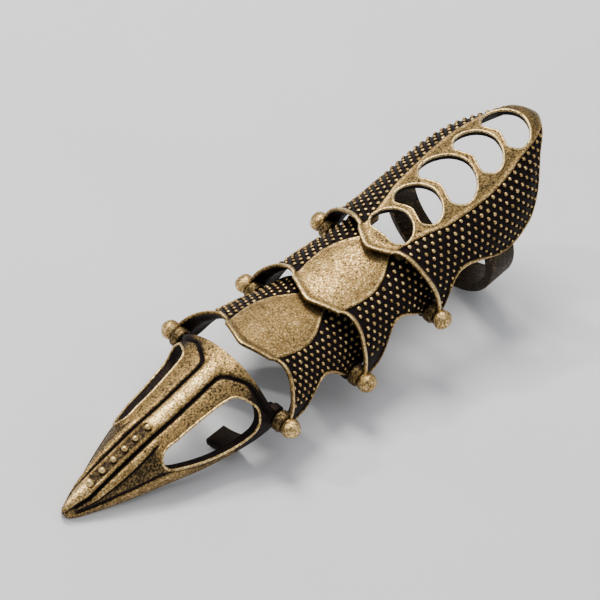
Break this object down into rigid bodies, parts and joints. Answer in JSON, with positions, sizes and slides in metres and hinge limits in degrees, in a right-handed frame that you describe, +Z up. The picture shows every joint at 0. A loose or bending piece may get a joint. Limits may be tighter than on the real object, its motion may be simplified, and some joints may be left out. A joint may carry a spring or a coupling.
{
  "type": "knuckle armor ring",
  "caption": "Jointed full-finger armor ring: a claw fingertip, two studded arched plates and a pierced knuckle shield on a ring band, hinged on ball-headed rivets.",
  "frame": {"origin": "on the floor under the middle of the part's box", "axes": "+X towards the fingertip, +Y to the wearer's right seen from the knuckles, +Z up; lying as it rests by itself on a table"},
  "size_m": [0.0879, 0.0254, 0.0252],
  "materials": {
    "claw_metal": "antique, darkened in the recesses",
    "plate_metal": "antique, darkened in the recesses",
    "knuckle_metal": "antique, darkened in the recesses",
    "rivet_metal": "antique, darkened in the recesses"
  },
  "bodies": {
    "knuckle": {"knuckle_plate": "knuckle_metal", "knuckle_rivet_left": "rivet_metal", "knuckle_rivet_right": "rivet_metal"},
    "rear": {"rear_plate": "plate_metal", "middle_rivet_left": "rivet_metal", "middle_rivet_right": "rivet_metal"},
    "front": {"front_plate": "plate_metal", "claw_rivet_left": "rivet_metal", "claw_rivet_right": "rivet_metal"},
    "fingertip": {"claw": "claw_metal"}
  },
  "joints": [
    {"name": "knuckle_hinge", "type": "hinge", "parent": "knuckle", "child": "rear", "pos_m": [-0.01586, 0, 0.00961], "axis": [0, 1, 0], "range_deg": [-4, 35]},
    {"name": "middle_hinge", "type": "hinge", "parent": "rear", "child": "front", "pos_m": [-0.00167, 0, 0.00618], "axis": [0, 1, 0], "range_deg": [-1, 45]},
    {"name": "claw_hinge", "type": "hinge", "parent": "front", "child": "fingertip", "pos_m": [0.01352, 0, 0.00687], "axis": [0, 1, 0], "range_deg": [-10, 35]}
  ]
}
